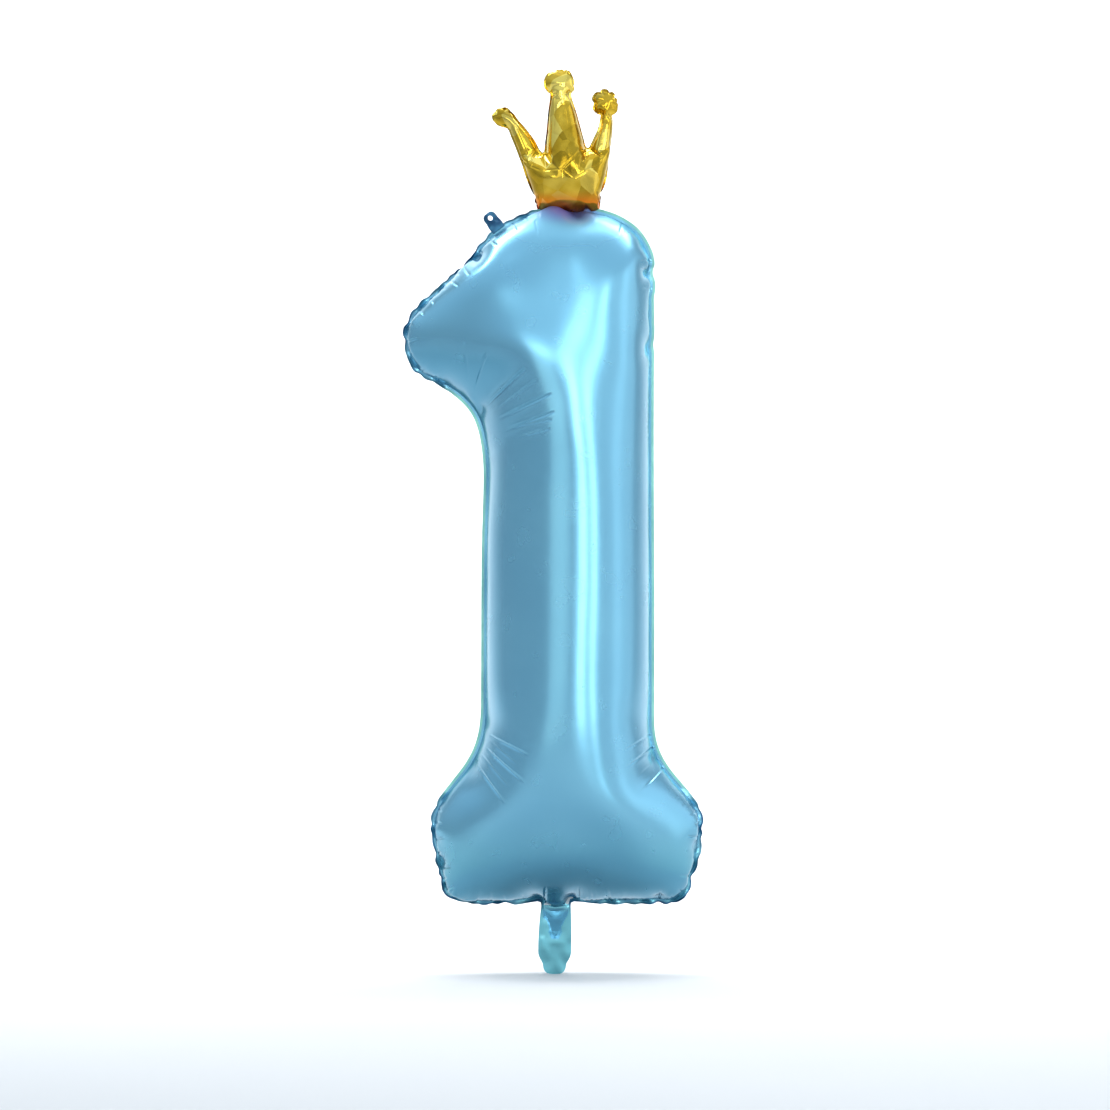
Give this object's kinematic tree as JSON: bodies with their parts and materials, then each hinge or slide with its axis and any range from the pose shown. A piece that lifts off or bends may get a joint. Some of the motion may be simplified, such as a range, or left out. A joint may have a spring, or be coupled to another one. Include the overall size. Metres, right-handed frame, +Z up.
{
  "type": "foil number balloon",
  "caption": "Inflated foil balloon shaped like a figure one with a crown on top, tied by its tail or hung from its eyelet tab.",
  "frame": {"origin": "centre of the tail's fold line, where a ribbon is tied round the neck, on the seam plane", "axes": "+Z up from the neck to the crown, -Y out of the front panel, so the seam plane is y = 0; +X is the straight side of the figure's stem"},
  "size_m": [0.3018, 0.1784, 0.907],
  "materials": {
    "blue_foil": "pastel blue metallised film, glossy",
    "gold_foil": "gold metallised film, mirror-like",
    "valve_film": "clear soft film"
  },
  "bodies": {
    "number": {"number_front_film": "blue_foil", "number_back_film": "blue_foil", "valve_front_film": "valve_film", "valve_back_film": "valve_film"},
    "crown": {"crown_front_film": "gold_foil", "crown_back_film": "gold_foil"},
    "tail": {"tail_front_film": "blue_foil", "tail_back_film": "blue_foil"},
    "hang_tab": {"hang_tab": "blue_foil"}
  },
  "joints": [
    {"name": "crown_nod", "type": "hinge", "parent": "number", "child": "crown", "pos_m": [0.00725, 0, 0.729], "axis": [1, 0, 0], "range_deg": [-20, 20], "stiffness_Nm_per_rad": 0.02},
    {"name": "tail_fold", "type": "hinge", "parent": "number", "child": "tail", "pos_m": [0, 0, 0], "axis": [1, 0, 0], "range_deg": [-75, 75]},
    {"name": "tab_fold", "type": "hinge", "parent": "number", "child": "hang_tab", "pos_m": [-0.06448, 0, 0.71064], "axis": [0.7998, 0, 0.6003], "range_deg": [-60, 60], "stiffness_Nm_per_rad": 0.0002}
  ]
}
